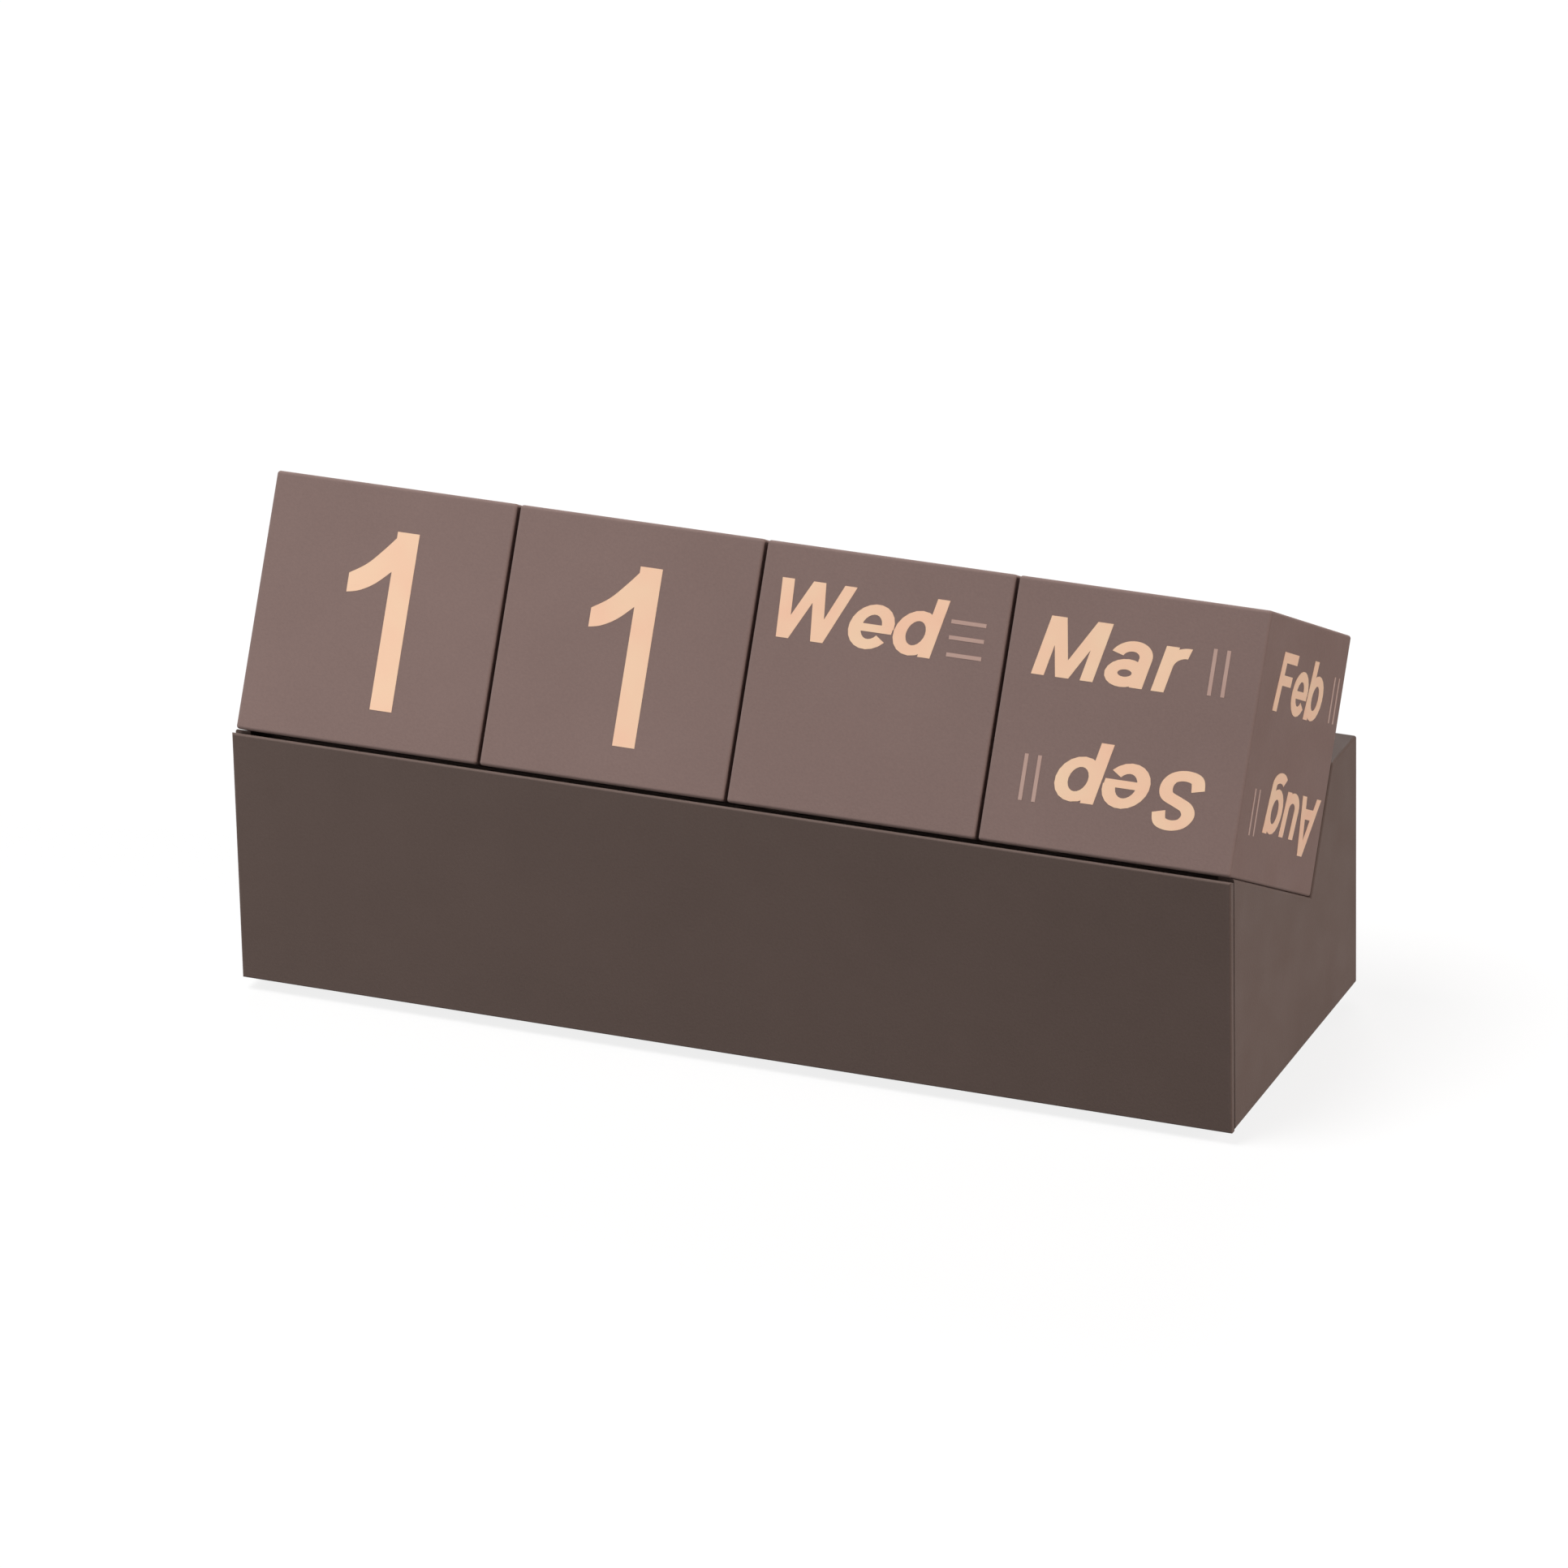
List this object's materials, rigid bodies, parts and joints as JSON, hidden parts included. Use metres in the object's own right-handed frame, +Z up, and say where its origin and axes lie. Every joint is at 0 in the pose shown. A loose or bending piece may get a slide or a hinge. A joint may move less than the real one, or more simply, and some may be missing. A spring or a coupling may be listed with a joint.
{
  "type": "desk calendar with drawer",
  "caption": "Perpetual desk calendar: printed cubes lean back in a V trough on a long base with a plain-fronted drawer.",
  "frame": {"origin": "on the desk, under the middle of the base", "axes": "+X along the row of cubes, to the right seen from the front; +Y to the back; +Z up"},
  "size_m": [0.1624, 0.056, 0.0793],
  "materials": {
    "base_plastic": "fine matt texture",
    "cube_plastic": "fine matt texture",
    "tray_plastic": "fine matt texture",
    "foot_rubber": "matt",
    "screw_steel": "satin, zinc plated"
  },
  "bodies": {
    "base": {"case_shell": "base_plastic", "base_plate": "base_plastic", "base_screw_front_left": "screw_steel", "base_screw_front_right": "screw_steel", "base_screw_back_left": "screw_steel", "base_screw_back_right": "screw_steel", "foot_front_left": "foot_rubber", "foot_front_right": "foot_rubber", "foot_back_left": "foot_rubber", "foot_back_right": "foot_rubber"},
    "drawer": {"drawer_tray": "tray_plastic", "drawer_front": "base_plastic", "drawer_screw_left": "screw_steel", "drawer_screw_middle": "screw_steel", "drawer_screw_right": "screw_steel"},
    "left_digit_cube": {"left_digit_cube_shell": "cube_plastic", "left_digit_cube_cap": "cube_plastic"},
    "right_digit_cube": {"right_digit_cube_shell": "cube_plastic", "right_digit_cube_cap": "cube_plastic"},
    "weekday_cube": {"weekday_cube_shell": "cube_plastic", "weekday_cube_cap": "cube_plastic"},
    "month_cube": {"month_cube_shell": "cube_plastic", "month_cube_cap": "cube_plastic"}
  },
  "joints": [
    {"name": "drawer_slide", "type": "slide", "parent": "base", "child": "drawer", "axis": [0, -1, 0], "range_m": [0, 0.0331]},
    {"name": "left_digit_cube_lift", "type": "slide", "parent": "base", "child": "left_digit_cube", "axis": [0, 0, 1], "range_m": [0, 0.06]},
    {"name": "right_digit_cube_lift", "type": "slide", "parent": "base", "child": "right_digit_cube", "axis": [0, 0, 1], "range_m": [0, 0.06]},
    {"name": "weekday_cube_lift", "type": "slide", "parent": "base", "child": "weekday_cube", "axis": [0, 0, 1], "range_m": [0, 0.06]},
    {"name": "month_cube_lift", "type": "slide", "parent": "base", "child": "month_cube", "axis": [0, 0, 1], "range_m": [0, 0.06]}
  ]
}
